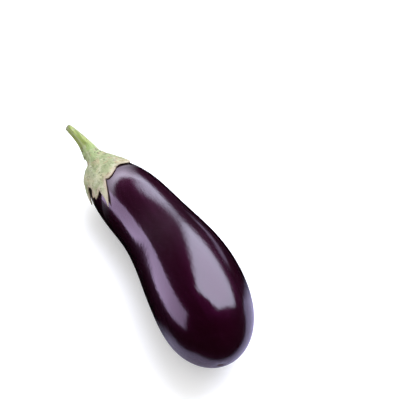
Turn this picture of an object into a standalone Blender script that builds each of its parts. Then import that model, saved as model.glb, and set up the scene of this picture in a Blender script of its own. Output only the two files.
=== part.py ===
"""A long oval eggplant as picked: a bent, pear-shaped fruit, its lobed calyx and its cut stem.

Metres, +Z up. It lies on its side on z = 0, its long axis along X, the stem end towards -X and
the blossom end towards +X. The origin is on the surface it lies on, under the middle of its box.
"""

import math

import bmesh
import bpy
import numpy as np
from mathutils import Vector

# ---- the spine: the line through the middle of the fruit, from the stem end to the blossom end
LENGTH = 0.217
TURN = math.radians(43)  # how far the fruit bends sideways, evenly along its length
NECK_CLIMB = math.radians(-5)  # the neck sinks from the stem end towards the belly
BELLY_CLIMB = math.radians(6.5)  # and the belly half rises again
CLIMB_END = 0.5  # the fraction of the length where the climb stops changing

# ---- the radius along the spine
NECK_RADIUS = 0.028
BELLY_RADIUS = 0.0375
TAPER = (0.21, 0.74)  # the neck widens into the belly between these fractions of the length
SHOULDER_END = 0.31  # the rounding of the stem end stops here
SHOULDER_POWER = 2.3
TIP_START = 0.67  # the rounding of the blossom end starts here
TIP_POWER = 2.9

# ---- the stem sits off the middle of the shoulder, up and towards the outside of the bend
CROWN_OFFSET = 0.0055
CROWN_SIDE = math.radians(50)
CROWN_END = 0.08

FLAT_DEPTH = 0.0009  # how much is taken off underneath to make the flat spot
GAP = 0.0003  # clearance between touching pieces

# ---- the calyx: a thin cup on the shoulder, with a collar where the stem joins it
CALYX_RIM = 0.0014  # its thickness near the margin
CALYX_CROWN = 0.0028  # its thickness where it bends up into the collar
CALYX_BEND = 0.0130  # distance from the stem at which that bend starts
COLLAR_HEIGHT = 0.0068
COLLAR_RADIUS = 0.0072
# the margin: angle around the fruit in degrees, distance from the stem along the skin, and how far
# that corner leans sideways in degrees. Points of the sepals and the notches between them, in turn.
MARGIN = (
    (8, 0.0265, 0),
    (53, 0.0360, 2),
    (75, 0.0320, 0),
    (110, 0.0378, 0),
    (117, 0.0362, 1),
    (125, 0.0560, 21),
    (138, 0.0385, 2),
    (147, 0.0425, 9),
    (164, 0.0260, 1),
    (188, 0.0375, 7),
    (219, 0.0260, 0),
    (246, 0.0400, -4),
    (270, 0.0270, 0),
    (297, 0.0370, 4),
    (323, 0.0265, 0),
    (346, 0.0400, 3),
)
POINT_POWER = 1.5  # above 1, the sepals have hollow sides and sharp points

# ---- the stem
STEM_LENGTH = 0.0385  # from the skin of the shoulder to the cut end
STEM_TIP = Vector((-0.968, -0.175, 0.178))  # where the cut end lies, seen from the crown
STEM_LEAVES = Vector((-0.964, 0.006, 0.266))  # the way it leaves the crown
STEM_RADII = (0.0071, 0.0059, 0.0048, 0.0040, 0.0034, 0.0027)
STEM_SIDES = 5  # bevel resolution, which gives 4 + 2 * 5 sides all round

FRUIT_RINGS = 38
FRUIT_SIDES = 52
CALYX_RINGS = 22
CALYX_SIDES = 96


def make_collection(name):
    collection = bpy.data.collections.new(name)
    bpy.context.scene.collection.children.link(collection)
    return collection


def material(name, colour, roughness):
    made = bpy.data.materials.new(name)
    made.use_nodes = True
    shader = made.node_tree.nodes["Principled BSDF"]
    shader.inputs["Base Color"].default_value = (*colour, 1)
    shader.inputs["Roughness"].default_value = roughness
    shader.inputs["Metallic"].default_value = 0
    return made


def add_object(name, mesh, collection, finish):
    mesh.materials.clear()
    mesh.materials.append(finish)
    made = bpy.data.objects.new(name, mesh)
    collection.objects.link(made)
    return made


def smooth(t):
    """0 to 1 with no slope and no bend at either end."""
    t = np.clip(t, 0, 1)
    return t * t * t * (t * (6 * t - 15) + 10)


def climb(u):
    return BELLY_CLIMB - (BELLY_CLIMB - NECK_CLIMB) * np.clip(1 - u / CLIMB_END, 0, 1)


def heading(u):
    return TURN * (0.5 - u)


def direction(u):
    """The spine's direction at the fractions u of its length."""
    flat = np.cos(climb(u))
    return np.stack(
        [np.cos(heading(u)) * flat, np.sin(heading(u)) * flat, np.sin(climb(u))], axis=-1
    )


def spine_path(steps=400):
    """Points along the spine, found by walking it in small equal steps."""
    middles = (np.arange(steps) + 0.5) / steps
    walk = np.cumsum(direction(middles), axis=0) * LENGTH / steps
    return np.arange(steps + 1) / steps, np.vstack([np.zeros(3), walk])


PATH = spine_path()


def radius(u):
    """A neck that widens into a belly, rounded off at both ends."""
    body = NECK_RADIUS + (BELLY_RADIUS - NECK_RADIUS) * smooth(
        (u - TAPER[0]) / (TAPER[1] - TAPER[0])
    )
    shoulder = np.clip((SHOULDER_END - u) / SHOULDER_END, 0, 1)
    tip = np.clip((u - TIP_START) / (1 - TIP_START), 0, 1)
    rounding = (1 - shoulder**SHOULDER_POWER) * (1 - tip**TIP_POWER)
    return body * np.sqrt(np.clip(rounding, 0, 1))


def skin(u, angle):
    """Points on the fruit at fractions u of its length and angles around it.

    Angle 0 is the outside of the bend, a quarter turn is the top and half a turn the inside.
    """
    u, angle = np.broadcast_arrays(np.asarray(u, float), np.asarray(angle, float))
    centre = np.stack([np.interp(u, PATH[0], PATH[1][:, k]) for k in range(3)], axis=-1)
    outward = np.stack([-np.sin(heading(u)), np.cos(heading(u)), np.zeros_like(u)], axis=-1)
    upward = np.cross(direction(u), outward)
    offset = CROWN_OFFSET * np.clip(1 - u / CROWN_END, 0, 1) ** 2
    across = radius(u) * np.cos(angle) + offset * math.cos(CROWN_SIDE)
    above = radius(u) * np.sin(angle) + offset * math.sin(CROWN_SIDE)
    return centre + across[..., None] * outward + above[..., None] * upward


def skin_normal(u, angle, step=1e-3):
    """The outward normal of the skin, from small steps along it and around it."""
    along = skin(u + step, angle) - skin(u, angle)
    around = skin(u, angle + step) - skin(u, angle - step)
    normal = np.cross(around, along)
    return normal / np.linalg.norm(normal, axis=-1, keepdims=True)


def fraction_at(distance, angle, reach=0.5, steps=240):
    """The fraction u of the length that lies this far from the stem, along the skin."""
    fractions = reach * (1 - np.cos(np.linspace(0, np.pi / 2, steps)))
    line = skin(fractions, angle)
    walked = np.cumsum(np.linalg.norm(np.diff(line, axis=0), axis=1))
    return float(np.interp(distance, np.concatenate([[0], walked]), fractions))


def margin(angle):
    """How far the calyx reaches from the stem at this angle, and how far it leans there.

    Between the corners it rises in a hollow line to each sharp point.
    """
    degrees = math.degrees(angle) % 360
    first, last = MARGIN[0], MARGIN[-1]
    corners = [(last[0] - 360, *last[1:]), *MARGIN, (first[0] + 360, *first[1:])]
    start, end = next(
        (start, end)
        for start, end in zip(corners, corners[1:])
        if start[0] <= degrees <= end[0]
    )
    share = (degrees - start[0]) / (end[0] - start[0])
    low, high = (start, end) if end[1] > start[1] else (end, start)
    rise = (share if high is end else 1 - share) ** POINT_POWER
    return low[1] + (high[1] - low[1]) * rise, math.radians(low[2] + (high[2] - low[2]) * rise)


def crown():
    """The point of the shoulder that the stem grows from."""
    return Vector(skin(0.0, 0.0))


def stem_point(t):
    """A point on the stem's axis: a curve that leaves the crown and bends to the cut end."""
    start = crown()
    middle = start + STEM_LEAVES.normalized() * STEM_LENGTH / 2
    end = start + STEM_TIP.normalized() * STEM_LENGTH
    return start * (1 - t) ** 2 + middle * 2 * t * (1 - t) + end * t**2


def collar_frame():
    """The middle of the collar, the stem's axis there, and two directions across it."""
    share = COLLAR_HEIGHT / STEM_LENGTH
    axis = (stem_point(share + 0.01) - stem_point(share - 0.01)).normalized()
    outward = Vector((-math.sin(TURN / 2), math.cos(TURN / 2), 0))
    outward = (outward - axis * outward.dot(axis)).normalized()
    return stem_point(share), axis, outward, outward.cross(axis)


def make_fruit(collection):
    """A sphere whose rings are moved to the stations of the spine, cut flat underneath."""
    shape = bmesh.new()
    bmesh.ops.create_uvsphere(
        shape, u_segments=FRUIT_SIDES, v_segments=FRUIT_RINGS, radius=1
    )
    for vertex in shape.verts:
        u = (vertex.co.z + 1) / 2
        angle = math.atan2(vertex.co.y, vertex.co.x)
        vertex.co = Vector(skin(u, angle))
    bmesh.ops.recalc_face_normals(shape, faces=shape.faces)
    floor = min(vertex.co.z for vertex in shape.verts) + FLAT_DEPTH
    cut = bmesh.ops.bisect_plane(
        shape,
        geom=[*shape.verts, *shape.edges, *shape.faces],
        plane_co=(0, 0, floor),
        plane_no=(0, 0, -1),
        clear_outer=True,
    )
    rim = [piece for piece in cut["geom_cut"] if isinstance(piece, bmesh.types.BMEdge)]
    bmesh.ops.contextual_create(shape, geom=rim)
    bmesh.ops.recalc_face_normals(shape, faces=shape.faces)
    mesh = bpy.data.meshes.new("fruit")
    shape.to_mesh(mesh)
    shape.free()
    mesh.shade_smooth()
    mesh.set_sharp_from_angle(angle=math.radians(35))
    finish = material("aubergine skin", (0.034, 0.006, 0.025), 0.2)
    return add_object("fruit", mesh, collection, finish), floor


def calyx_line(angle):
    """The calyx seen along one meridian: a function from 0, the middle of the collar, to 1."""
    middle, axis, outward, upward = collar_frame()
    side = outward * math.cos(angle) + upward * math.sin(angle)
    reach, lean = margin(angle)
    bend = fraction_at(CALYX_BEND, angle)
    normal = Vector(skin_normal(bend, angle))
    shoulder = Vector(skin(bend, angle)) + normal * CALYX_CROWN
    downhill = Vector(skin(bend + 0.002, angle) - skin(bend, angle)).normalized()
    edge = middle + side * COLLAR_RADIUS
    pull = COLLAR_HEIGHT * 0.6
    handles = (edge, edge - axis * pull, shoulder - downhill * pull, shoulder)

    def flare(t):
        a, b, c, d = handles
        s = 1 - t
        return a * s**3 + b * (3 * s * s * t) + c * (3 * s * t * t) + d * t**3

    def outside(t):
        if t < 0.15:
            return middle + side * (COLLAR_RADIUS * t / 0.15)
        if t < 0.5:
            return flare((t - 0.15) / 0.35)
        share = (t - 0.5) / 0.5
        thick = CALYX_CROWN + (CALYX_RIM - CALYX_CROWN) * math.sqrt(share)
        thick = thick if share < 1 else (CALYX_RIM + GAP) / 2
        return above_skin(CALYX_BEND + (reach - CALYX_BEND) * share, thick)

    def inside(t):
        return above_skin(reach * (0.02 + 0.96 * t), GAP)

    def above_skin(distance, height):
        free = max(0, distance - CALYX_BEND) / (reach - CALYX_BEND)
        turned = angle + lean * free**2
        u = fraction_at(distance, turned)
        return Vector(skin(u, turned)) + Vector(skin_normal(u, turned)) * height

    return outside, inside


def make_calyx(collection):
    """A sphere folded into a cup: one half becomes its outside, the other its inside."""
    shape = bmesh.new()
    bmesh.ops.create_uvsphere(
        shape, u_segments=CALYX_SIDES, v_segments=CALYX_RINGS, radius=1
    )
    lines = {}
    for vertex in shape.verts:
        angle = math.atan2(vertex.co.y, vertex.co.x)
        key = round(angle, 4)
        if key not in lines:
            lines[key] = calyx_line(angle)
        outside, inside = lines[key]
        share = math.acos(max(-1, min(1, vertex.co.z))) / (math.pi / 2)
        if share <= 1.001:
            vertex.co = outside(min(share, 1))
        elif share < 1.999:
            vertex.co = inside(2 - share)
        else:
            vertex.co = crown() - Vector(direction(0.0)) * GAP * 1.5
    bmesh.ops.recalc_face_normals(shape, faces=shape.faces)
    mesh = bpy.data.meshes.new("calyx")
    shape.to_mesh(mesh)
    shape.free()
    mesh.shade_smooth()
    mesh.set_sharp_from_angle(angle=math.radians(40))
    finish = material("calyx green", (0.44, 0.50, 0.33), 0.7)
    return add_object("calyx", mesh, collection, finish)


def make_stem(collection):
    """A tapered round rod on the stem's axis, from the collar to the cut end."""
    start = (COLLAR_HEIGHT + GAP) / STEM_LENGTH
    path = bpy.data.curves.new("stem path", "CURVE")
    path.dimensions = "3D"
    path.bevel_depth = 1
    path.bevel_resolution = STEM_SIDES
    path.use_fill_caps = True
    line = path.splines.new("POLY")
    line.points.add(len(STEM_RADII) - 1)
    for k, (point, thick) in enumerate(zip(line.points, STEM_RADII)):
        share = k / (len(STEM_RADII) - 1)
        point.co = (*stem_point(start + (1 - start) * share), 1)
        point.radius = thick
    guide = bpy.data.objects.new("stem path", path)
    collection.objects.link(guide)
    bpy.context.view_layer.update()
    evaluated = guide.evaluated_get(bpy.context.evaluated_depsgraph_get())
    mesh = bpy.data.meshes.new_from_object(evaluated)
    bpy.data.objects.remove(guide)
    shape = bmesh.new()
    shape.from_mesh(mesh)
    bmesh.ops.remove_doubles(shape, verts=shape.verts, dist=0.00001)
    bmesh.ops.recalc_face_normals(shape, faces=shape.faces)
    shape.to_mesh(mesh)
    shape.free()
    mesh.name = "stem"
    mesh.shade_smooth()
    mesh.set_sharp_from_angle(angle=math.radians(40))
    finish = material("stem green", (0.40, 0.52, 0.24), 0.6)
    return add_object("stem", mesh, collection, finish)


def stand_on_origin(pieces, floor):
    """Hangs the pieces on one empty, which puts the origin under the middle of their box."""
    corners = np.array([vertex.co for piece in pieces for vertex in piece.data.vertices])
    middle = (corners.min(axis=0) + corners.max(axis=0)) / 2
    stand = bpy.data.objects.new("eggplant", None)
    pieces[0].users_collection[0].objects.link(stand)
    stand.location = (-middle[0], -middle[1], -floor)
    for piece in pieces:
        piece.parent = stand


def main():
    for leftover in list(bpy.data.objects):
        bpy.data.objects.remove(leftover)
    collection = make_collection("eggplant")
    fruit, floor = make_fruit(collection)
    calyx = make_calyx(collection)
    stem = make_stem(collection)
    stand_on_origin([fruit, calyx, stem], floor)


main()
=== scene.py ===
"""The looks of the eggplant: glossy skin, leathery calyx, ridged stem, soft studio light.

Metres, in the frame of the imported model. The skin, the calyx and the stem are grown again on the
same spine as the CAD pieces, with finer meshes and with the detail that the CAD leaves out.
"""

import math

import bmesh
import bpy
import numpy as np
from mathutils import Matrix, Vector, kdtree, noise


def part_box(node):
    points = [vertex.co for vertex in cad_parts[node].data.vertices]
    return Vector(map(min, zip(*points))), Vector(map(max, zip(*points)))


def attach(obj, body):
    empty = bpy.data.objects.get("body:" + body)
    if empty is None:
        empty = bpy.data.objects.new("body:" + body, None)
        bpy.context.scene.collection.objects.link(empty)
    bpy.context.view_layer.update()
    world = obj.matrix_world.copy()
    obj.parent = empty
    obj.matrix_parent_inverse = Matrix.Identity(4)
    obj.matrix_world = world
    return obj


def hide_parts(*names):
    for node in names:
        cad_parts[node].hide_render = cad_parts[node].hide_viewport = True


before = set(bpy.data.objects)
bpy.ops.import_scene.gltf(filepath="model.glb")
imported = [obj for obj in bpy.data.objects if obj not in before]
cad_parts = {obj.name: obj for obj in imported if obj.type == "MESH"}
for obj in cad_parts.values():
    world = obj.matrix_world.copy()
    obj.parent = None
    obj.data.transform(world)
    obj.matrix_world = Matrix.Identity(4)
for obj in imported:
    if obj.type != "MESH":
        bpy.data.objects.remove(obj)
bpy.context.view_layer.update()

MM = 0.001

# ---- the spine and the radius, as in the CAD part
LENGTH = 0.217
TURN = math.radians(43)
NECK_CLIMB = math.radians(-5)
BELLY_CLIMB = math.radians(6.5)
CLIMB_END = 0.5
NECK_RADIUS = 0.028
BELLY_RADIUS = 0.0375
TAPER = (0.21, 0.74)
SHOULDER_END = 0.31
SHOULDER_POWER = 2.3
TIP_START = 0.67
TIP_POWER = 2.9
CROWN_OFFSET = 0.0055
CROWN_SIDE = math.radians(50)
CROWN_END = 0.08
FLAT_DEPTH = 0.0009

# ---- the skin's own detail
SKIN_RINGS = 240
SKIN_SIDES = 208
SWELL = 0.26 * MM  # long soft swellings
THREE_SIDED = 0.12 * MM  # and a hint of three sides
RIPPLE = 0.05 * MM  # short ripples that make the edges of the highlights waver
SCAR_PLACE = (0.991, math.radians(-75))  # the corky mark, a little below the blossom end's tip
SCAR_RADIUS = 3.4 * MM
SCAR_DEPTH = 0.8 * MM

# ---- the stem
STEM_LENGTH = 0.0385
STEM_TIP = Vector((-0.968, -0.175, 0.178))
STEM_LEAVES = Vector((-0.964, 0.006, 0.266))
STEM_PROFILE = (  # distance from the skin of the shoulder and radius there, in mm
    (0, 9.0),
    (6.8, 7.3),
    (13.1, 6.0),
    (19.5, 4.8),
    (25.8, 4.0),
    (32.2, 3.45),
    (36.0, 3.1),
    (38.5, 2.5),
)
STEM_RIDGES = ((42, 1.0), (128, 1.0), (186, 0.8), (246, 0.9), (300, 0.8), (352, 0.7))
STEM_SIDES = 120
STEM_RINGS = 110
YELLOW_SIDE = 182  # this side of the stem is a yellower green, and the opposite side gets painted shade
SOCKET_FLOOR = 6.8 * MM  # where the stem's foot sits in the calyx
SOCKET_LIP = 8.8 * MM
CLEARANCE = 0.02 * MM
STEM_FOOT = SOCKET_FLOOR + 0.3 * MM
STEM_TOP = STEM_LENGTH - 0.4 * MM  # the cut end rises and dips from here
# the cut end, from its rim to its hollow middle: share of the radius and height in mm
CUT_END = (
    (0.985, 0.25),
    (0.93, 0.42),
    (0.82, 0.34),
    (0.66, 0.12),
    (0.45, 0.0),
    (0.24, -0.30),
    (0.10, -0.55),
)

# ---- the calyx
CALYX_BEND = 0.0130
WAIST = 4.0 * MM  # how hard the flare is drawn in on the inside of the bend
WAIST_SIDE = 200
# the margin: angle around the fruit in degrees where that corner's line starts, how far the line
# leans sideways on its way, its reach from the stem in mm and how far it lifts off the skin in mm
MARGIN = (
    (8, 0, 26.5, 0.2),
    (24, 0, 29.5, 0.4),
    (38, 0, 31.0, 0.6),
    (53, 2, 36.0, 1.1),  # the tip of the broad sepal at the top
    (62, 2, 34.5, 0.7),
    (75, 0, 32.2, 0.3),
    (84, 0, 32.8, 0.3),
    (93, 0, 35.0, 0.3),
    (103, 0, 37.2, 0.3),
    (112, 0, 37.8, 0.3),
    (116, 1, 36.2, 0.2),
    (118, 4, 40.0, 0.3),
    (120, 8, 45.0, 0.4),
    (122, 14, 51.0, 0.5),
    (124, 23, 57.0, 0.8),  # the tip of the long tooth
    (126, 18, 53.0, 0.5),
    (128, 14, 49.5, 0.4),
    (134, 7, 42.5, 0.3),
    (138, 2, 39.3, 0.2),
    (140, 6, 41.3, 0.7),
    (142, 9, 42.4, 1.2),
    (144, 12, 43.2, 1.9),  # the two curled points of the short tooth
    (146, 9, 40.4, 1.2),
    (148, 12, 39.6, 1.9),
    (149, 5, 37.2, 0.9),
    (152, 1, 33.5, 0.4),
    (156, 0, 29.5, 0.2),
    (163, 1, 26.0, 0.2),
    (168, 2, 27.8, 0.3),
    (175, 3, 33.0, 0.4),
    (187, 8, 37.5, 0.7),  # the thin sepal along the inside of the bend
    (196, 4, 33.0, 0.5),
    (208, 0, 28.5, 0.3),
    (219, 0, 26.0, 0.2),
    (231, 0, 30.0, 0.4),
    (237, 0, 31.5, 0.4),
    (246, -4, 40.0, 1.0),
    (258, 0, 30.5, 0.4),
    (270, 0, 27.0, 0.2),
    (284, 2, 30.0, 0.4),
    (297, 4, 37.0, 0.9),
    (309, 0, 30.0, 0.4),
    (323, 0, 26.5, 0.2),
    (335, 2, 32.0, 0.4),
    (346, 3, 40.0, 0.9),
    (357, 0, 30.0, 0.3),
)
LEAN_POWER = 3
COLUMN_WIDTH = 0.62 * MM  # how far apart the calyx's columns are along the margin
FLARE_ROWS = 34
SEPAL_ROWS = 84
INNER_ROWS = 18
SOCKET_ROWS = 4  # the socket stays smooth, and the roughness comes in over the next rows
FADE_ROWS = 14
WARTS = 90
RIM_HEIGHT = 1.15 * MM  # height of the outer surface near the margin
CROWN_HEIGHT = 2.5 * MM  # and where the sepals run together
RIM_ROUNDING = 0.55 * MM
BULGE = 1.5 * MM  # the cap stands out on the inside of the bend
SEAT = 0.12 * MM  # gap between the calyx and the skin


def smooth(t):
    t = np.clip(t, 0, 1)
    return t * t * t * (t * (6 * t - 15) + 10)


def climb(u):
    return BELLY_CLIMB - (BELLY_CLIMB - NECK_CLIMB) * np.clip(1 - u / CLIMB_END, 0, 1)


def heading(u):
    return TURN * (0.5 - u)


def direction(u):
    flat = np.cos(climb(u))
    return np.stack(
        [np.cos(heading(u)) * flat, np.sin(heading(u)) * flat, np.sin(climb(u))], axis=-1
    )


def spine_path(steps=400):
    middles = (np.arange(steps) + 0.5) / steps
    walk = np.cumsum(direction(middles), axis=0) * LENGTH / steps
    return np.arange(steps + 1) / steps, np.vstack([np.zeros(3), walk])


PATH = spine_path()


def radius(u):
    body = NECK_RADIUS + (BELLY_RADIUS - NECK_RADIUS) * smooth(
        (u - TAPER[0]) / (TAPER[1] - TAPER[0])
    )
    shoulder = np.clip((SHOULDER_END - u) / SHOULDER_END, 0, 1)
    tip = np.clip((u - TIP_START) / (1 - TIP_START), 0, 1)
    rounding = (1 - shoulder**SHOULDER_POWER) * (1 - tip**TIP_POWER)
    return body * np.sqrt(np.clip(rounding, 0, 1))


def grown(u, angle):
    """Points of the plain skin, in the frame that the spine starts from."""
    u, angle = np.broadcast_arrays(np.asarray(u, float), np.asarray(angle, float))
    centre = np.stack([np.interp(u, PATH[0], PATH[1][:, k]) for k in range(3)], axis=-1)
    outward = np.stack([-np.sin(heading(u)), np.cos(heading(u)), np.zeros_like(u)], axis=-1)
    upward = np.cross(direction(u), outward)
    offset = CROWN_OFFSET * np.clip(1 - u / CROWN_END, 0, 1) ** 2
    across = radius(u) * np.cos(angle) + offset * math.cos(CROWN_SIDE)
    above = radius(u) * np.sin(angle) + offset * math.sin(CROWN_SIDE)
    return centre + across[..., None] * outward + above[..., None] * upward


def frame_shift():
    """What moves the grown skin onto the CAD node of the fruit."""
    u = (1 - np.cos(np.linspace(0, np.pi, 400))) / 2
    points = grown(u[:, None], np.linspace(0, 2 * np.pi, 360)[None, :]).reshape(-1, 3)
    low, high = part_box("fruit")
    middle = (np.array(low) + np.array(high)) / 2 - (points.min(0) + points.max(0)) / 2
    return np.array([middle[0], middle[1], low.z - points[:, 2].min() - FLAT_DEPTH])


SHIFT = frame_shift()


def skin(u, angle):
    return grown(u, angle) + SHIFT


def unit(vectors):
    return vectors / np.linalg.norm(vectors, axis=-1, keepdims=True)


def skin_normal(u, angle, step=1e-3):
    along = grown(u + step, angle) - grown(u, angle)
    around = grown(u, angle + step) - grown(u, angle - step)
    return unit(np.cross(around, along))


def noise_at(points, scale, seed):
    """Smooth noise of about -1 to 1 at each point, with features about 1 / scale metres apart."""
    shift = Vector((seed * 3.7, seed * 1.9, seed * 5.3))
    return np.array([noise.noise(Vector(p) * scale + shift) for p in points])


def mesh_object(name, points, faces, attributes):
    """A smooth-shaded mesh object with float attributes on its points."""
    mesh = bpy.data.meshes.new(name)
    mesh.from_pydata([tuple(p) for p in points], [], faces)
    for label, values in attributes.items():
        layer = mesh.attributes.new(label, "FLOAT", "POINT")
        layer.data.foreach_set("value", np.asarray(values, np.float32))
    shape = bmesh.new()
    shape.from_mesh(mesh)
    bmesh.ops.recalc_face_normals(shape, faces=shape.faces)
    shape.to_mesh(mesh)
    shape.free()
    mesh.shade_smooth()
    made = bpy.data.objects.new(name, mesh)
    bpy.context.scene.collection.objects.link(made)
    return made


def ring_faces(rings, sides):
    """Quads between successive rings of points, and fans to a point before and after them.

    The points are: the first pole, the rings one after the other, the last pole.
    """
    faces = []
    for k in range(sides):
        faces.append((0, 1 + k, 1 + (k + 1) % sides))
    for row in range(rings - 1):
        a = 1 + row * sides
        b = a + sides
        for k in range(sides):
            n = (k + 1) % sides
            faces.append((a + k, b + k, b + n, a + n))
    last = 1 + (rings - 1) * sides
    pole = 1 + rings * sides
    for k in range(sides):
        faces.append((pole, last + (k + 1) % sides, last + k))
    return faces


def spread(first, rings, last, sides):
    """A value for each point: the first pole's, each ring's one or many, and the last pole's."""
    return np.concatenate([[first], *(np.broadcast_to(ring, sides) for ring in rings), [last]])


# ---------------------------------------------------------------- the fruit


def make_fruit():
    """The skin with its swellings, the mark at the blossom end and the flat spot it lies on."""
    stations = (1 - np.cos(np.linspace(0, np.pi, SKIN_RINGS + 2))) / 2
    u = np.repeat(stations[1:-1], SKIN_SIDES)
    angle = np.tile(np.arange(SKIN_SIDES) * 2 * np.pi / SKIN_SIDES, SKIN_RINGS)
    plain = skin(u, angle)
    normals = skin_normal(np.minimum(u, 0.9985), angle)
    poles = skin(np.array([0.0, 1.0]), 0.0)
    along = np.clip((u - 0.02) / 0.1, 0, 1) * np.clip((1 - u) / 0.06, 0, 1)
    stretched = plain * np.array([0.45, 1, 1])
    swell = noise_at(stretched, 38, 1) * SWELL + THREE_SIDED * np.cos(3 * angle + 0.8 + 2 * u)
    ripple = noise_at(plain * np.array([0.6, 1, 1]), 95, 2) * RIPPLE
    lifted = plain + normals * ((swell + ripple) * along)[:, None]
    points = np.vstack([poles[:1], lifted, poles[1:]])
    points, scar = press_scar(points, skin(*SCAR_PLACE), skin_normal(*SCAR_PLACE))
    points[:, 2] = soft_floor(points[:, 2])
    return mesh_object(
        "eggplant_fruit", points, ring_faces(SKIN_RINGS, SKIN_SIDES), {"scar": scar}
    )


def press_scar(points, middle, away):
    """A shallow pucker round the mark, and how close each point is to it, from 0 to 1."""
    offset = points - middle
    distance = np.linalg.norm(offset, axis=1)
    side = unit(np.cross(away, [0, 0, 1]))
    turn = np.arctan2(offset @ np.cross(away, side), offset @ side)
    wobble = 1 + 0.10 * np.sin(5 * turn + 0.4) + 0.06 * np.sin(9 * turn)
    share = distance / (SCAR_RADIUS * wobble)
    dent = SCAR_DEPTH * np.exp(-((share / 1.15) ** 2))
    knob = 0.45 * SCAR_DEPTH * np.exp(-((share / 0.28) ** 2))
    folds = 0.10 * SCAR_DEPTH * np.sin(11 * turn) * np.exp(-((share - 1.0) ** 2) / 0.18)
    moved = points - away * (dent - knob + folds)[:, None]
    return moved, np.clip(1.35 - share, 0, 1)


def soft_floor(heights, blend=0.00025):
    """Heights with everything under the floor pressed onto it, blended over a short height."""
    lifted = np.where(
        heights > 3 * blend, heights, blend * np.log1p(np.exp(np.clip(heights / blend, -40, 40)))
    )
    return np.where(heights < -2 * blend, 0, lifted)


# ---------------------------------------------------------------- the stem


def crown():
    return Vector(skin(0.0, 0.0))


def stem_point(t):
    start = crown()
    middle = start + STEM_LEAVES.normalized() * STEM_LENGTH / 2
    end = start + STEM_TIP.normalized() * STEM_LENGTH
    return start * (1 - t) ** 2 + middle * 2 * t * (1 - t) + end * t**2


def stem_frame(distance):
    """The stem's axis point at this distance from the skin, its axis and two ways across it."""
    share = distance / STEM_LENGTH
    axis = (stem_point(share + 0.01) - stem_point(share - 0.01)).normalized()
    outward = Vector((-math.sin(TURN / 2), math.cos(TURN / 2), 0))
    outward = (outward - axis * outward.dot(axis)).normalized()
    return stem_point(share), axis, outward, outward.cross(axis)


def ridge_at(degrees, width=17.0):
    """How much of a ridge there is at this angle, from 0 to 1."""
    total = 0
    for middle, strength in STEM_RIDGES:
        gap = (degrees - middle + 180) % 360 - 180
        total = total + strength * np.exp(-((gap / width) ** 2))
    return total


def stem_radius(distance, angle):
    """The stem's radius: a smooth taper with ridges that run up from the sepals."""
    places = np.array([p[0] for p in STEM_PROFILE]) * MM
    sizes = np.array([p[1] for p in STEM_PROFILE]) * MM
    window = np.linspace(-2.4, 2.4, 9) * MM
    plain = np.mean([np.interp(distance + w, places, sizes) for w in window])
    twist = 14 * distance / STEM_LENGTH
    ridge = ridge_at(np.degrees(angle) % 360 + twist) - 0.45
    height = np.interp(distance, [0, 0.012, 0.03, STEM_LENGTH], [0.30, 0.42, 0.30, 0.26]) * MM
    return plain + ridge * height


def stem_surface(distance, angle, extra=0.0):
    """Points on the stem's skin at one distance along it and an array of angles."""
    point, axis, outward, upward = stem_frame(distance)
    size = stem_radius(distance, angle) + extra
    return (
        np.array(point)
        + (size * np.cos(angle))[:, None] * np.array(outward)
        + (size * np.sin(angle))[:, None] * np.array(upward)
    )


def stem_rings(angle):
    """Rings from the foot to the middle of the cut end, each with its distance and woodiness."""
    middle = np.array(stem_frame(STEM_FOOT)[0])
    foot = stem_surface(STEM_FOOT, angle)
    for share in (0.5, 0.93):
        yield middle + (foot - middle) * share, STEM_FOOT, 0
    for distance in np.linspace(STEM_FOOT + 0.1 * MM, STEM_TOP, STEM_RINGS):
        ring = stem_surface(distance, angle)
        bumps = noise_at(ring * np.array([0.35, 1, 1]), 420, 4) * 0.10 * MM
        bumps += noise_at(ring * np.array([0.5, 1, 1]), 1300, 5) * 0.045 * MM
        fade = np.clip((distance - SOCKET_LIP) / (4 * MM), 0, 1)
        outward = unit(ring - np.array(stem_frame(distance)[0]))
        ring = ring + outward * (bumps * fade)[:, None]
        yield ring, distance, 0
    tip, axis = (np.array(v) for v in stem_frame(STEM_TOP)[:2])
    rim = ring - tip
    slant = np.cos(angle - math.radians(70)) * 0.5 * MM
    fibres = np.maximum(0, np.sin(angle * 17 + 3 * np.sin(angle * 3))) * 0.12
    for share, height in CUT_END:
        ring = tip + rim * share
        rough = noise_at(ring, 900, 6) * 0.16 + noise_at(ring, 2600, 7) * 0.10
        lift = (height + rough + fibres * (share > 0.5)) * MM + slant * share - 0.2 * MM
        yield ring + axis * lift[:, None], STEM_LENGTH, min(1.0, (1 - share) * 14 + 0.15)


def make_stem():
    """The stem from its foot in the calyx to its hollowed and slightly ragged cut end."""
    angle = np.arange(STEM_SIDES) * 2 * np.pi / STEM_SIDES
    rings, distances, cuts = zip(*stem_rings(angle))
    first = np.array(stem_frame(STEM_FOOT)[0])
    tip, axis = (np.array(v) for v in stem_frame(STEM_TOP)[:2])
    points = np.vstack([first, *rings, tip - axis * 0.8 * MM])
    ridges = [ridge_at(np.degrees(angle))] * len(rings)
    sides = [0.5 + 0.5 * np.cos(angle - math.radians(YELLOW_SIDE))] * len(rings)
    values = {
        "along": spread(STEM_FOOT, distances, STEM_LENGTH, STEM_SIDES) / STEM_LENGTH,
        "cut": spread(0, cuts, 1, STEM_SIDES),
        "ridge": spread(0, ridges, 0, STEM_SIDES),
        "side": spread(0.5, sides, 0.5, STEM_SIDES),
    }
    return mesh_object("eggplant_stem", points, ring_faces(len(rings), STEM_SIDES), values)


# ---------------------------------------------------------------- the calyx


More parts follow.
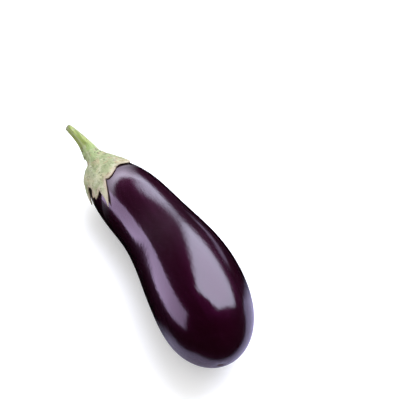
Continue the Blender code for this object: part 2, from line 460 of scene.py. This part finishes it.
def margin_columns():
    """The calyx's columns: start angle, lean, reach and lift, spaced evenly along the margin."""
    corners = [*MARGIN, (MARGIN[0][0] + 360, *MARGIN[0][1:])]
    columns = []
    for start, end in zip(corners, corners[1:]):
        across = math.radians(end[0] + end[1] - start[0] - start[1]) * NECK_RADIUS
        length = math.hypot(across, (end[2] - start[2]) * MM)
        count = max(3, round(length / COLUMN_WIDTH))
        for k in range(count):
            columns.append([a + (b - a) * k / count for a, b in zip(start, end)])
    start, lean, reach, lift = np.array(columns).T
    return np.radians(start), np.radians(lean), reach * MM, lift * MM


def arc_table(reach=0.5, steps=300, columns=360, longest=0.07):
    """For a grid of angles, the square root of the fraction u at each distance from the stem."""
    fractions = reach * (1 - np.cos(np.linspace(0, np.pi / 2, steps)))
    distances = np.linspace(0, longest, 701)
    table = np.zeros((columns + 1, len(distances)))
    for k in range(columns + 1):
        line = skin(fractions, k * 2 * np.pi / columns)
        walked = np.cumsum(np.linalg.norm(np.diff(line, axis=0), axis=1))
        table[k] = np.interp(distances, np.concatenate([[0], walked]), np.sqrt(fractions))
    return table, longest


ARCS, LONGEST = arc_table()


def fraction_at(distance, angle):
    """The fraction u of the length at these distances from the stem along the skin."""
    column = (angle / (2 * np.pi) % 1) * (ARCS.shape[0] - 1)
    row = np.clip(distance / LONGEST, 0, 0.9999) * (ARCS.shape[1] - 1)
    c, r = column.astype(int), row.astype(int)
    fc, fr = column - c, row - r
    c1, r1 = np.minimum(c + 1, ARCS.shape[0] - 1), r + 1
    low = ARCS[c, r] * (1 - fr) + ARCS[c, r1] * fr
    high = ARCS[c1, r] * (1 - fr) + ARCS[c1, r1] * fr
    return (low * (1 - fc) + high * fc) ** 2


def on_skin(distance, turned, height):
    u = fraction_at(distance, turned)
    return skin(u, turned) + skin_normal(u, turned) * height[:, None]


class Margin:
    """The calyx's columns, one for each point of its margin, and how far points are from it."""

    def __init__(self):
        self.angle, self.lean, self.reach, self.lift = margin_columns()
        self.degrees = np.degrees(self.angle)
        self.zeros = np.zeros(len(self.angle))
        ring = on_skin(self.reach, self.turned(1.0), self.zeros)
        self.tree = kdtree.KDTree(len(ring) * 4)
        for k, (start, end) in enumerate(zip(ring, np.roll(ring, -1, axis=0))):
            for part in range(4):
                self.tree.insert(Vector(start + (end - start) * part / 4), k * 4 + part)
        self.tree.balance()

    def turned(self, free):
        """Each column's angle at this share of the way from the bend to the margin."""
        return self.angle + self.lean * free**LEAN_POWER

    def distance(self, free):
        """Each column's distance from the stem along the skin at this share of the way."""
        return CALYX_BEND + (self.reach - CALYX_BEND) * free

    def gap(self, points):
        """Distance from each point to the margin."""
        return np.array([self.tree.find(Vector(p))[2] for p in points])


def socket_rings(margin):
    """The floor, the wall and the lip of the socket that the stem's foot sits in."""
    middle = np.array(stem_frame(SOCKET_FLOOR)[0])
    wall = stem_surface(SOCKET_FLOOR, margin.angle, CLEARANCE)
    yield middle + (wall - middle) * 0.5, 0, 1
    yield wall, 0, 1
    for distance in (SOCKET_FLOOR + 0.7 * MM, SOCKET_LIP):
        yield stem_surface(distance, margin.angle, CLEARANCE), 0, 1


def flare_rings(margin):
    """Curves that leave the socket's lip along the stem and reach the shoulder along the skin."""
    base = margin.zeros + CALYX_BEND
    gaps = margin.gap(on_skin(base, margin.angle, margin.zeros))
    height = sepal_height(base, 0, gaps, margin.degrees)
    shoulder = on_skin(base, margin.angle, height)
    downhill = unit(on_skin(base + 1 * MM, margin.angle, height) - shoulder)
    lip = stem_surface(SOCKET_LIP, margin.angle, CLEARANCE * 2)
    leaving = unit(lip - stem_surface(SOCKET_LIP + 0.6 * MM, margin.angle, CLEARANCE * 2))
    inward = unit(np.array(stem_frame(SOCKET_LIP)[0]) - lip)
    span = np.linalg.norm(shoulder - lip, axis=1)
    inside = np.cos(np.radians(margin.degrees - WAIST_SIDE))
    # the curves' handles: on the inside of the bend they are longer and drawn in to the waist
    upper = lip + leaving * (span * (0.52 + 0.20 * inside))[:, None]
    upper += inward * (WAIST * np.clip(inside, 0, 1))[:, None]
    lower = shoulder - downhill * (span * (0.36 + 0.04 * inside))[:, None]
    for t in np.linspace(0, 1, FLARE_ROWS, endpoint=False):
        s = 1 - t
        ring = lip * s**3 + upper * 3 * s * s * t + lower * 3 * s * t * t + shoulder * t**3
        yield ring, t * CALYX_BEND, gaps


def sepal_rings(margin):
    """The sepals' outer side, from the shoulder to just before the margin."""
    for free in np.linspace(0, 1, SEPAL_ROWS)[:-1]:
        distance, turned = margin.distance(free), margin.turned(free)
        gaps = margin.gap(on_skin(distance, turned, margin.zeros))
        height = sepal_height(distance, free, gaps, margin.degrees) + margin.lift * free**3
        yield on_skin(distance, turned, height), distance, gaps


def underside_rings(margin):
    """The margin, then the underside back to the shoulder and on under the stem."""
    height = SEAT + RIM_HEIGHT * 0.5 + margin.lift
    yield on_skin(margin.reach, margin.turned(1.0), height), margin.reach, 0
    for free in np.linspace(1, 0, INNER_ROWS)[1:]:
        distance, turned = margin.distance(free), margin.turned(free)
        gaps = margin.gap(on_skin(distance, turned, margin.zeros))
        height = SEAT + margin.lift * free**3 + RIM_HEIGHT * 0.5 * (1 - rounding(gaps))
        yield on_skin(distance, turned, height), distance, gaps
    for distance in (9 * MM, 5 * MM, 2 * MM):
        yield on_skin(margin.zeros + distance, margin.angle, margin.zeros + SEAT), distance, 1


def make_calyx():
    """A closed cup: up from the stem's foot, over a lip, down the sepals, and back underneath."""
    margin = Margin()
    outer = [*socket_rings(margin), *flare_rings(margin), *sepal_rings(margin)]
    rings, runs, rims = zip(*outer, *underside_rings(margin))
    rings = roughened(rings, rims, len(outer))
    first = np.array(stem_frame(SOCKET_FLOOR)[0])
    last = np.array(crown()) - direction(0.0) * SEAT
    points = np.vstack([first, *rings, last])
    sides = len(margin.angle)
    ridges = [ridge_at(margin.degrees, 12.0)] * len(rings)
    values = {
        "run": spread(0, runs, 0, sides) / MM,
        "rim": spread(1, rims, 1, sides) / MM,
        "ridge": spread(0, ridges, 0, sides),
    }
    return mesh_object("eggplant_calyx", points, ring_faces(len(rings), sides), values)


def rounding(gaps):
    """The quarter round of the sepals' edge: 0 at the margin, 1 past its rounding."""
    return np.sqrt(np.clip(1 - (1 - np.clip(gaps / RIM_ROUNDING, 0, 1)) ** 2, 0, 1))


def sepal_height(distance, free, gaps, degrees):
    """Height of the outer surface over the skin: plump between the edges, ribbed in the middle."""
    plump = smooth(gaps / (7 * MM))
    near_stem = np.clip(1 - (distance - CALYX_BEND) / (14 * MM), 0, 1)
    top = RIM_HEIGHT + (CROWN_HEIGHT - RIM_HEIGHT) * plump * (0.45 + 0.55 * near_stem)
    rib = ridge_at(degrees, 9.0 - 3.0 * free) * np.clip(gaps / (3 * MM), 0, 1)
    top = top + rib * (0.42 - 0.22 * free) * MM
    hump = np.exp(-(((distance / MM - 16.5) / 6.5) ** 2) - ((degrees - 188) / 40) ** 2)
    top = top + hump * plump * BULGE
    return SEAT + RIM_HEIGHT * 0.5 + (top - RIM_HEIGHT * 0.5) * rounding(gaps)


def roughened(rings, rims, outer_rows):
    """The rings with lumps, wrinkles and warts on the outer side, which fade at lip and margin."""
    grid = np.array(rings)
    around = np.roll(grid, -1, axis=1) - np.roll(grid, 1, axis=1)
    normals = np.cross(around, np.gradient(grid, axis=0))
    normals /= np.linalg.norm(normals, axis=2, keepdims=True) + 1e-12
    warts = wart_places(grid, outer_rows)
    rough = list(grid)
    for k in range(SOCKET_ROWS, outer_rows):
        ring = grid[k]
        lumps = noise_at(ring, 190, 11) * 0.34 + noise_at(ring, 520, 12) * 0.15
        wrinkles = noise_at(ring, 1500, 13) * 0.07
        pimples = wart_heights(ring, warts)
        fade = np.clip(rims[k] / (1.6 * MM), 0, 1) * min(1.0, (k - SOCKET_ROWS) / FADE_ROWS)
        rough[k] = ring + normals[k] * ((lumps + wrinkles + pimples) * fade * MM)[:, None]
    return rough


def wart_places(grid, outer_rows):
    """Middles and radii of the small warts, spread over the outer side."""
    rng = np.random.default_rng(7)
    places = []
    for _ in range(WARTS):
        row = int(rng.integers(14, outer_rows - 6))
        column = int(rng.integers(0, grid.shape[1]))
        places.append((*grid[row, column], rng.uniform(0.35, 0.9) * MM))
    return np.array(places)


def wart_heights(ring, warts):
    """Height in mm that the warts add at each point."""
    gaps = np.linalg.norm(ring[:, None, :] - warts[None, :, :3], axis=2) / warts[None, :, 3]
    return np.max(np.exp(-(gaps**2)) * 0.22, axis=1)


# ---------------------------------------------------------------- materials


class Nodes:
    """Short ways to make and link the nodes of one node tree."""

    def __init__(self, tree):
        self.tree = tree

    def node(self, kind, **inputs):
        made = self.tree.nodes.new(kind)
        for name, value in inputs.items():
            self.feed(made.inputs[name.replace("_", " ")], value)
        return made

    def feed(self, socket, value):
        if isinstance(value, bpy.types.NodeSocket):
            self.tree.links.new(value, socket)
        elif isinstance(value, tuple) and len(value) == 3 and socket.type == "RGBA":
            socket.default_value = (*value, 1)
        else:
            socket.default_value = value

    def band(self, value, low, high, bottom=0.0, top=1.0, how="SMOOTHSTEP"):
        """The value carried from low..high to bottom..top."""
        made = self.node("ShaderNodeMapRange", Value=value)
        made.interpolation_type = how
        for name, number in (
            ("From Min", low), ("From Max", high), ("To Min", bottom), ("To Max", top),
        ):
            made.inputs[name].default_value = number
        return made.outputs["Result"]

    def calculate(self, how, a, b):
        made = self.node("ShaderNodeMath")
        made.operation = how
        self.feed(made.inputs[0], a)
        self.feed(made.inputs[1], b)
        return made.outputs[0]

    def sum(self, a, b):
        return self.calculate("ADD", a, b)

    def minus(self, a, b):
        return self.calculate("SUBTRACT", a, b)

    def times(self, a, b):
        return self.calculate("MULTIPLY", a, b)

    def choose(self, share, a, b):
        """A number that is a where the share is 0 and b where it is 1; mix does it for colours."""
        made = self.node("ShaderNodeMix")
        made.data_type = "FLOAT"
        for socket, value in zip(made.inputs, (share, None, a, b)):
            if value is not None:
                self.feed(socket, value)
        return made.outputs[0]


class Material(Nodes):
    """The nodes of one new material, round its Principled shader."""

    def __init__(self, name):
        self.material = bpy.data.materials.new(name)
        self.material.use_nodes = True
        super().__init__(self.material.node_tree)
        self.shader = self.tree.nodes["Principled BSDF"]
        self.place = self.node("ShaderNodeTexCoord").outputs["Object"]

    def stretched(self, scale):
        """The place scaled by axis: under 1, a pattern is drawn out along that axis."""
        mapping = self.node("ShaderNodeMapping", Vector=self.place)
        mapping.inputs["Scale"].default_value = scale
        return mapping.outputs["Vector"]

    def noise(self, scale, detail=3.0, rough=0.55, vector=None, distortion=0.0):
        made = self.node(
            "ShaderNodeTexNoise", Vector=vector or self.place, Scale=scale, Detail=detail,
            Roughness=rough, Distortion=distortion,
        )
        return made.outputs["Fac"]

    def cells(self, scale, feature="F1", vector=None):
        made = self.node("ShaderNodeTexVoronoi", Vector=vector or self.place, Scale=scale)
        made.feature = feature
        return made.outputs["Distance"]

    def attribute(self, name):
        made = self.node("ShaderNodeAttribute")
        made.attribute_name = name
        return made.outputs["Fac"]

    def mix(self, share, a, b):
        """A colour that is a where the share is 0 and b where it is 1."""
        made = self.node("ShaderNodeMix")
        made.data_type = "RGBA"
        self.feed(made.inputs[0], share)
        self.feed(made.inputs[6], a)
        self.feed(made.inputs[7], b)
        return made.outputs[2]

    def bump(self, height, depth, strength=1.0, after=None):
        made = self.node("ShaderNodeBump", Strength=strength, Distance=depth, Height=height)
        if after is not None:
            self.feed(made.inputs["Normal"], after)
        return made.outputs["Normal"]

    def finish(self, **inputs):
        for name, value in inputs.items():
            self.feed(self.shader.inputs[name.replace("_", " ")], value)
        return self.material


def skin_material():
    """Very dark purple skin under a waxy coat, with fine lengthwise streaks and a corky mark."""
    n = Material("aubergine_skin")
    patches = n.noise(22, 3, 0.5, n.stretched((0.5, 1, 1)))
    colour = n.mix(n.band(patches, 0.35, 0.68), (0.0085, 0.0002, 0.0022), (0.0155, 0.0004, 0.0060))
    streaks = n.noise(260, 4, 0.6, n.stretched((0.10, 1, 1)))
    colour = n.mix(n.band(streaks, 0.50, 0.80, 0, 0.35), colour, (0.022, 0.0012, 0.0120))
    freckles = n.band(n.cells(520), 0.05, 0.16, 1, 0)
    some = n.band(n.noise(70, 2, 0.5), 0.52, 0.62)
    colour = n.mix(n.times(n.times(freckles, some), 0.35), colour, (0.060, 0.022, 0.043))
    scar = n.attribute("scar")
    ragged = n.sum(scar, n.times(n.minus(n.noise(900, 4, 0.7), 0.5), 0.7))
    cork = n.mix(n.noise(1500, 4, 0.7), (0.018, 0.010, 0.008), (0.085, 0.064, 0.052))
    corky = n.band(ragged, 0.55, 0.80)
    colour = n.mix(corky, colour, cork)
    rough = n.sum(n.band(streaks, 0.35, 0.65, 0.34, 0.42), n.times(corky, 0.3))
    wax = n.minus(1.0, n.band(ragged, 0.45, 0.75))
    pores = n.sum(n.noise(1250, 3, 0.6), n.times(n.cells(900), 0.35))
    normal = n.bump(pores, 0.000018, 0.55)
    normal = n.bump(n.noise(400, 3, 0.55, n.stretched((0.40, 1, 1))), 0.00009, 1.0, normal)
    return n.finish(
        Base_Color=colour, Roughness=rough, Normal=normal, IOR=1.5,
        Specular_IOR_Level=0.22, Specular_Tint=(1.0, 0.03, 0.52), Coat_Weight=wax,
        Coat_Roughness=0.10, Coat_IOR=1.7, Coat_Normal=normal,
    )


def calyx_material():
    """Leathery green-cream with mint by the stem, beige blotches, dark specks and dry tips."""
    n = Material("calyx_leather")
    run, rim, ridge = n.attribute("run"), n.attribute("rim"), n.attribute("ridge")
    colour = n.mix(n.band(n.noise(110, 3, 0.55), 0.40, 0.60), (0.265, 0.305, 0.145),
                   (0.430, 0.425, 0.250))
    colour = n.mix(n.band(run, 5, 19, 0.65, 0.0), colour, (0.245, 0.335, 0.120))
    blotch = n.noise(150, 4, 0.6, distortion=0.8)
    blotch = n.times(n.band(blotch, 0.51, 0.61, 0, 0.8), n.band(run, 0.5, 4, 0.25, 1))
    colour = n.mix(blotch, colour, (0.375, 0.290, 0.160))
    green = n.noise(180, 4, 0.6, distortion=0.4)
    colour = n.mix(n.band(green, 0.55, 0.66, 0, 0.65), colour, (0.165, 0.195, 0.060))
    pale = n.noise(200, 4, 0.6)
    colour = n.mix(n.band(pale, 0.54, 0.66, 0, 0.6), colour, (0.540, 0.540, 0.370))
    near_rim = n.minus(rim, n.times(n.noise(330, 4, 0.6), 3.2))
    dry = n.times(n.band(near_rim, -0.6, 2.2, 1, 0), n.band(run, 22, 38, 0.3, 0.8))
    colour = n.mix(dry, colour, (0.455, 0.375, 0.270))
    colour = n.mix(n.band(rim, 0.15, 0.7, 0.5, 0), colour, (0.230, 0.155, 0.095))
    bent = n.node("ShaderNodeVectorMath")
    bent.operation = "MULTIPLY_ADD"
    wobble = n.node("ShaderNodeTexNoise", Vector=n.place, Scale=240.0, Detail=3.0)
    n.feed(bent.inputs[0], wobble.outputs["Color"])
    bent.inputs[1].default_value = (0.004, 0.004, 0.004)
    n.feed(bent.inputs[2], n.place)
    veins = n.cells(270, "DISTANCE_TO_EDGE", bent.outputs[0])
    faint = n.band(n.noise(95, 2, 0.5), 0.44, 0.62, 0.0, 0.30)
    colour = n.mix(n.times(n.band(veins, 0.0, 0.07, 1, 0), faint), colour, (0.150, 0.160, 0.060))
    colour = n.mix(n.band(ridge, 0.5, 1.0, 0, 0.3), colour, (0.520, 0.540, 0.360))
    marks = n.band(n.noise(400, 5, 0.75, distortion=0.9), 0.540, 0.615)
    where = n.band(n.noise(90, 3, 0.6), 0.42, 0.55)
    colour = n.mix(n.times(n.times(marks, where), 0.95), colour, (0.085, 0.080, 0.026))
    spots = n.band(n.cells(250), 0.08, 0.22, 1, 0)
    some = n.band(n.noise(130, 2, 0.5), 0.49, 0.56)
    colour = n.mix(n.times(n.times(spots, some), 0.9), colour, (0.060, 0.045, 0.016))
    height = n.sum(n.noise(900, 5, 0.65), n.times(n.band(veins, 0, 0.08), 0.14))
    height = n.sum(height, n.times(spots, -0.4))
    height = n.sum(height, n.times(marks, -0.3))
    normal = n.bump(height, 0.00030, 0.9)
    rough = n.band(n.noise(300, 3), 0.3, 0.7, 0.48, 0.66)
    return n.finish(Base_Color=colour, Roughness=rough, Normal=normal, IOR=1.45,
                    Sheen_Weight=0.1, Sheen_Roughness=0.4)


def stem_material():
    """Pale green and faintly hairy, streaked lengthwise, with brown scars, a dry cut end, a
    painted highlight along the ridges and painted shade down one side.
    """
    n = Material("stem_green")
    along, cut, ridge = n.attribute("along"), n.attribute("cut"), n.attribute("ridge")
    length = n.stretched((0.12, 1, 1))
    streak = n.noise(420, 4, 0.6, length)
    colour = n.mix(n.band(streak, 0.40, 0.60), (0.160, 0.212, 0.032), (0.305, 0.355, 0.100))
    patchy = n.sum(n.attribute("side"), n.noise(140, 3, 0.5, n.stretched((0.35, 1, 1))))
    colour = n.mix(n.band(patchy, 1.00, 1.38, 0, 0.85), colour, (0.165, 0.205, 0.020))
    colour = n.mix(n.band(patchy, 0.62, 0.90, 0.55, 0), colour, (0.310, 0.330, 0.160))
    # painted shade: a darker brownish tint down the side away from YELLOW_SIDE, where the light
    # falls off
    painted_shade = n.sum(n.attribute("side"), n.times(n.noise(300, 4, 0.6), 0.5))
    colour = n.mix(n.band(painted_shade, 0.22, 0.42, 0.5, 0), colour, (0.170, 0.165, 0.080))
    colour = n.mix(n.band(along, 0.22, 0.46, 0.65, 0), colour, (0.250, 0.345, 0.128))
    # painted highlight: a paler green along the ridges, where they catch the light
    colour = n.mix(n.band(ridge, 0.5, 1.0, 0, 0.4), colour, (0.380, 0.430, 0.220))
    grey = n.noise(240, 4, 0.6)
    colour = n.mix(n.band(grey, 0.54, 0.66, 0, 0.6), colour, (0.340, 0.350, 0.230))
    marks = n.band(n.noise(400, 5, 0.75, n.stretched((0.5, 1, 1)), 0.8), 0.545, 0.62)
    where = n.band(n.noise(95, 3, 0.6), 0.44, 0.56)
    colour = n.mix(n.times(n.times(marks, where), 0.75), colour, (0.095, 0.095, 0.022))
    spots = n.band(n.cells(220, vector=n.stretched((0.6, 1, 1))), 0.08, 0.22, 1, 0)
    some = n.band(n.noise(130, 2, 0.5), 0.49, 0.56)
    colour = n.mix(n.times(n.times(spots, some), 0.9), colour, (0.080, 0.042, 0.016))
    colour = n.mix(n.band(along, 0.94, 0.99, 0, 0.6), colour, (0.150, 0.130, 0.075))
    wood = n.mix(n.noise(1400, 4, 0.7), (0.150, 0.140, 0.085), (0.370, 0.350, 0.250))
    colour = n.mix(n.band(cut, 0.1, 0.6), colour, wood)
    height = n.sum(n.noise(1100, 5, 0.65, n.stretched((0.4, 1, 1))), n.times(streak, 0.8))
    height = n.sum(height, n.times(spots, -0.4))
    height = n.sum(height, n.times(marks, -0.3))
    normal = n.bump(height, 0.00030, 0.9)
    rough = n.band(n.noise(260, 3), 0.3, 0.7, 0.46, 0.62)
    return n.finish(Base_Color=colour, Roughness=rough, Normal=normal, IOR=1.45,
                    Sheen_Weight=0.1, Sheen_Roughness=0.4)


# ---------------------------------------------------------------- the stage

# the camera looks at the target from this side, height and distance
AZIMUTH = math.radians(62.13)
ELEVATION = math.radians(54)
DISTANCE = 1.3
TARGET = Vector((-0.0195, 0.0455, 0.0291))
LENS = 147.5  # the lens and the sensor in mm
SENSOR = 36

FLOOR_SIZE = 5.0
FLOOR_COLOUR = (0.97, 0.97, 0.97)
FLOOR_LIFT = 0.16  # keeps the shadow pale, as the camera sees it
MIRRORED_COLOUR = (0.42, 0.39, 0.54)  # cooler and dimmer where it shows in the skin
# the part of the floor that shows in the skin, as its sides in x and then in y, and how soft its
# sides and its far end are; outside it a mirrored ray passes through the floor
SHEET = (0.060, 0.158, -0.097, 0.475)
SHEET_EDGE = 0.022
FAR_EDGE = 0.066
BACKDROP = 1.0  # the world's strength where the camera sees it
FILL = 1.0  # on matt surfaces
DARK = 0.002  # and where the gloss mirrors it

COOL = (0.92, 0.95, 1.20)
PALE = (0.97, 0.97, 1.17)
VIOLET = (0.83, 0.67, 1.05)
# softboxes: where the middle is, the azimuth and elevation the light comes from and the roll in
# degrees, the size across and along, the radiance at the two ends, which is cut off below 0, and
# the share of the size over which the edges fade, across and along
SOFTBOXES = (
    dict(
        name="key", middle=(-0.060, 0.304, 0.601), shines_from=(-137, 25), roll=-16,
        size=(0.87, 0.93), radiance=(3.8, 4.75), edges=(0.13, 0.13), colour=COOL,
    ),
    dict(
        name="left", middle=(-0.241, -0.471, 0.145), shines_from=(-22, 12), roll=-58,
        size=(0.35, 0.70), radiance=(3.5, 1.75), edges=(0.15, 0.14), colour=VIOLET,
    ),
    dict(
        name="neck", middle=(-0.185, 0.147, 0.154), shines_from=(-75, -38), roll=60,
        size=(0.078, 0.53), radiance=(8.2, -15.4), edges=(0.50, 0.14), colour=PALE,
    ),
    dict(
        name="line", middle=(-0.150, 0.260, 0.002), shines_from=(168, 14), roll=-24,
        size=(0.32, 0.045), radiance=(0.75, 0.75), edges=(0.20, 0.20), colour=VIOLET,
    ),
)


def toward(azimuth, elevation):
    """The unit vector at this azimuth and elevation; azimuth 0 is towards -Y, 90 towards +X."""
    return Vector((
        math.sin(azimuth) * math.cos(elevation),
        -math.cos(azimuth) * math.cos(elevation),
        math.sin(elevation),
    ))


def make_camera():
    data = bpy.data.cameras.new("camera")
    data.lens = LENS
    data.sensor_width = SENSOR
    made = bpy.data.objects.new("camera", data)
    back = toward(AZIMUTH, ELEVATION)
    made.location = TARGET + back * DISTANCE
    made.rotation_euler = back.to_track_quat("Z", "Y").to_euler()
    bpy.context.scene.collection.objects.link(made)
    bpy.context.scene.camera = made


def softbox_matrix(middle, shines_from, roll):
    """The softbox's place and turn. It shines along its own -Z, and its own X is across it."""
    back = toward(*map(math.radians, shines_from))
    across = Vector((0, 0, 1)).cross(back).normalized()
    turn = Matrix.Rotation(math.radians(roll), 3, back)
    side = turn @ across
    up = back.cross(side)
    return Matrix.Translation(middle) @ Matrix((side, up, back)).transposed().to_4x4()


def make_softbox(name, middle, shines_from, roll, size, radiance, edges, colour):
    """An area light with soft edges and a gradient. Only the key one lights matt surfaces too."""
    data = bpy.data.lights.new(name, "AREA")
    data.shape = "RECTANGLE"
    data.size, data.size_y = size
    data.energy = math.pi * size[0] * size[1]
    data.color = colour
    data.use_nodes = True
    n = Nodes(data.node_tree)
    place = n.node("ShaderNodeNewGeometry").outputs["Parametric"]
    split = n.node("ShaderNodeSeparateXYZ", Vector=place)
    strength = n.band(split.outputs["Y"], 0, 1, *radiance, "LINEAR")
    strength = n.calculate("MAXIMUM", strength, 0)
    for axis, soft in zip(("X", "Y"), edges):
        strength = n.times(strength, n.band(split.outputs[axis], 0, soft))
        strength = n.times(strength, n.band(split.outputs[axis], 1 - soft, 1, 1, 0))
    n.feed(n.tree.nodes["Emission"].inputs["Strength"], strength)
    made = bpy.data.objects.new(name, data)
    made.matrix_world = softbox_matrix(middle, shines_from, roll)
    made.visible_camera = False
    made.visible_diffuse = name == "key"
    bpy.context.scene.collection.objects.link(made)


def floor_material():
    """White to the camera. In the glossy skin only the sheet round the blossom end shows."""
    n = Material("floor")
    rays = n.node("ShaderNodeLightPath").outputs
    mirrored = rays["Is Glossy Ray"]
    n.finish(
        Base_Color=n.mix(mirrored, FLOOR_COLOUR, MIRRORED_COLOUR), Roughness=0.9,
        Specular_IOR_Level=0, Emission_Color=(1, 1, 1),
        Emission_Strength=n.times(rays["Is Camera Ray"], FLOOR_LIFT),
    )
    place = n.node("ShaderNodeSeparateXYZ", Vector=n.place).outputs
    west, east, south, north = SHEET
    inside = n.band(place["X"], west - SHEET_EDGE, west + SHEET_EDGE)
    inside = n.times(inside, n.band(place["X"], east - SHEET_EDGE, east + SHEET_EDGE, 1, 0))
    inside = n.times(inside, n.band(place["Y"], south - SHEET_EDGE, south + SHEET_EDGE))
    inside = n.times(inside, n.band(place["Y"], north - FAR_EDGE, north + FAR_EDGE, 1, 0))
    blend = n.node("ShaderNodeMixShader", Fac=n.times(mirrored, n.minus(1.0, inside)))
    n.feed(blend.inputs[1], n.shader.outputs[0])
    n.feed(blend.inputs[2], n.node("ShaderNodeBsdfTransparent").outputs[0])
    n.feed(n.tree.nodes["Material Output"].inputs["Surface"], blend.outputs[0])
    return n.material


def make_floor():
    mesh = bpy.data.meshes.new("floor")
    half = FLOOR_SIZE / 2
    corners = [(-half, -half, 0), (half, -half, 0), (half, half, 0), (-half, half, 0)]
    mesh.from_pydata(corners, [], [(0, 1, 2, 3)])
    mesh.materials.append(floor_material())
    floor = bpy.data.objects.new("floor", mesh)
    bpy.context.scene.collection.objects.link(floor)


def make_world():
    """White behind the object, soft fill for matt surfaces, dark for what the gloss mirrors."""
    world = bpy.data.worlds.new("studio")
    world.use_nodes = True
    bpy.context.scene.world = world
    n = Nodes(world.node_tree)
    rays = n.node("ShaderNodeLightPath").outputs
    unseen = n.choose(rays["Is Glossy Ray"], FILL, DARK)
    background = n.tree.nodes["Background"]
    n.feed(background.inputs["Strength"], n.choose(rays["Is Camera Ray"], unseen, BACKDROP))
    n.feed(background.inputs["Color"], (1, 1, 1))


def main():
    pieces = (
        (make_fruit(), "fruit", "skin", skin_material()),
        (make_calyx(), "calyx", "calyx", calyx_material()),
        (make_stem(), "stem", "stem", stem_material()),
    )
    for piece, node, slot, finish in pieces:
        piece.data.materials.append(finish)
        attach(piece, "root")
        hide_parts(node)
    make_floor()
    make_world()
    for box in SOFTBOXES:
        make_softbox(**box)
    make_camera()
    bpy.context.scene.view_settings.view_transform = "Standard"


main()
